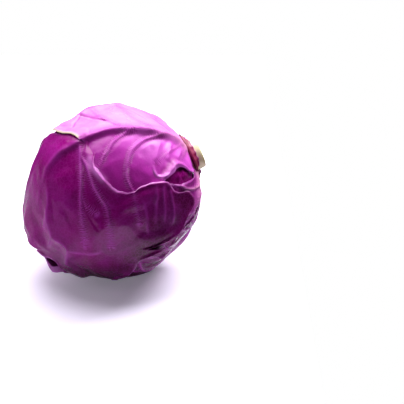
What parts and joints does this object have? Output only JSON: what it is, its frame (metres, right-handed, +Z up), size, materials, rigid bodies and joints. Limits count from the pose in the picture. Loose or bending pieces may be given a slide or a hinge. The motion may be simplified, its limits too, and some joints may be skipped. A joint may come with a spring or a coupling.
{
  "type": "red cabbage head",
  "caption": "Whole red cabbage head lying on its side, with loose ribbed wrapper leaves over a tight heart, a cut stem and trimmed leaf stubs.",
  "frame": {"origin": "middle of the small flat spot that the head rests on, straight below the middle of the heart", "axes": "+Z up from the surface it lies on, the stem to +X and a little up and back, the front with the torn wrapper leaf to -Y"},
  "size_m": [0.1677, 0.1567, 0.153],
  "materials": {
    "heart_leaf": "dark purple packed leaves, satin",
    "stem_flesh": "cream yellow cut stem, matte and fibrous",
    "inner_leaf": "dark maroon purple leaf, satin",
    "outer_leaf": "magenta purple leaf with pale ribs, waxy gloss",
    "leaf_stub": "maroon leaf base with a pale cut edge"
  },
  "bodies": {
    "root": {"heart": "heart_leaf", "stem": "stem_flesh", "inner_leaf": "inner_leaf", "back_leaf": "outer_leaf", "under_leaf": "outer_leaf", "rear_leaf": "outer_leaf", "wrapper_leaf": "outer_leaf", "leaf_stub_1": "leaf_stub", "leaf_stub_2": "leaf_stub", "leaf_stub_3": "leaf_stub"}
  },
  "joints": []
}
